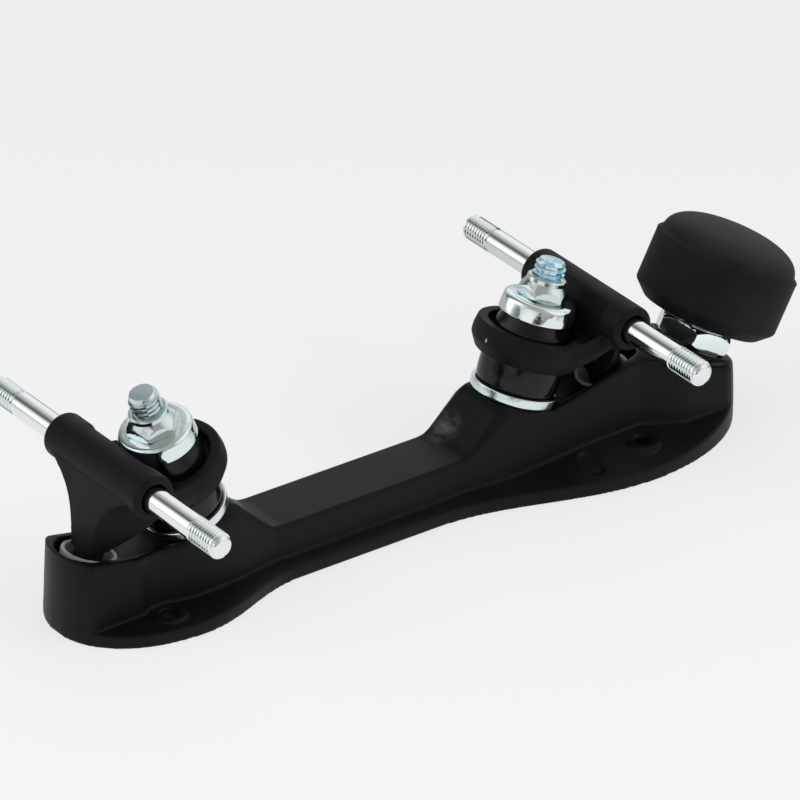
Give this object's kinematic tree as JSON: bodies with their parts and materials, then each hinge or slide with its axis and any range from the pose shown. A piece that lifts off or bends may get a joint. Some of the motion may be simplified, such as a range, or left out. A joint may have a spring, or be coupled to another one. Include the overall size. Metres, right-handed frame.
{
  "type": "roller skate plate",
  "caption": "Quad roller skate plate: moulded nylon sole plate with sprung steering trucks on kingpins, bare wheel axles and a screw-in domed rubber toe stop.",
  "frame": {"origin": "on the flat sole face, on the middle line, halfway between the two axles", "axes": "+X towards the toe, +Y along the axles to the right of a skater who stands on it, +Z away from the boot, towards the ground in use"},
  "size_m": [0.2689, 0.1154, 0.0721],
  "materials": {
    "moulded_nylon": "satin moulded, black",
    "cast_alloy": "satin black coating over cast alloy",
    "zinc_axle": "bright zinc",
    "zinc_bolt": "zinc",
    "zinc_nut": "zinc",
    "zinc_washer": "bright zinc",
    "urethane": "glossy cast polyurethane, black",
    "acetal": "pale grey, smooth",
    "stop_rubber": "matt moulded, black"
  },
  "bodies": {
    "plate": {"sole_plate": "moulded_nylon", "front_kingpin": "zinc_bolt", "front_kingpin_nut": "zinc_nut", "front_upper_washer": "zinc_washer", "front_lower_washer": "zinc_washer", "front_upper_bushing": "urethane", "front_lower_bushing": "urethane", "front_pivot_cup": "acetal", "rear_kingpin": "zinc_bolt", "rear_kingpin_nut": "zinc_nut", "rear_upper_washer": "zinc_washer", "rear_lower_washer": "zinc_washer", "rear_upper_bushing": "urethane", "rear_lower_bushing": "urethane", "rear_pivot_cup": "acetal", "toe_stop_insert": "zinc_nut", "toe_stop_nut": "zinc_nut"},
    "front_truck": {"front_hanger": "cast_alloy", "front_axle": "zinc_axle"},
    "rear_truck": {"rear_hanger": "cast_alloy", "rear_axle": "zinc_axle"},
    "toe_stop_post": {"toe_stop_stem": "zinc_bolt"},
    "toe_stop_pad": {"toe_stop_rubber": "stop_rubber"}
  },
  "joints": [
    {"name": "front_steer", "type": "hinge", "parent": "plate", "child": "front_truck", "pos_m": [0.0961, 0, 0.0175], "axis": [0.7725, 0, -0.635], "range_deg": [-8, 8], "stiffness_Nm_per_rad": 25, "deforming": ["front_upper_bushing", "front_lower_bushing"]},
    {"name": "rear_steer", "type": "hinge", "parent": "plate", "child": "rear_truck", "pos_m": [-0.0961, 0, 0.0175], "axis": [-0.7725, 0, -0.635], "range_deg": [-8, 8], "stiffness_Nm_per_rad": 25, "deforming": ["rear_upper_bushing", "rear_lower_bushing"]},
    {"name": "toe_stop_height", "type": "slide", "parent": "plate", "child": "toe_stop_post", "axis": [0.4695, 0, 0.8829], "range_m": [0, 0.006]},
    {"name": "toe_stop_turn", "type": "hinge", "parent": "toe_stop_post", "child": "toe_stop_pad", "pos_m": [0.1285, 0, 0.0224], "axis": [0.4695, 0, 0.8829], "range_deg": [0, 935.5]}
  ],
  "couplings": [
    {"joint": "toe_stop_turn", "follows": "toe_stop_height", "rad_per_m": 2721.1}
  ]
}
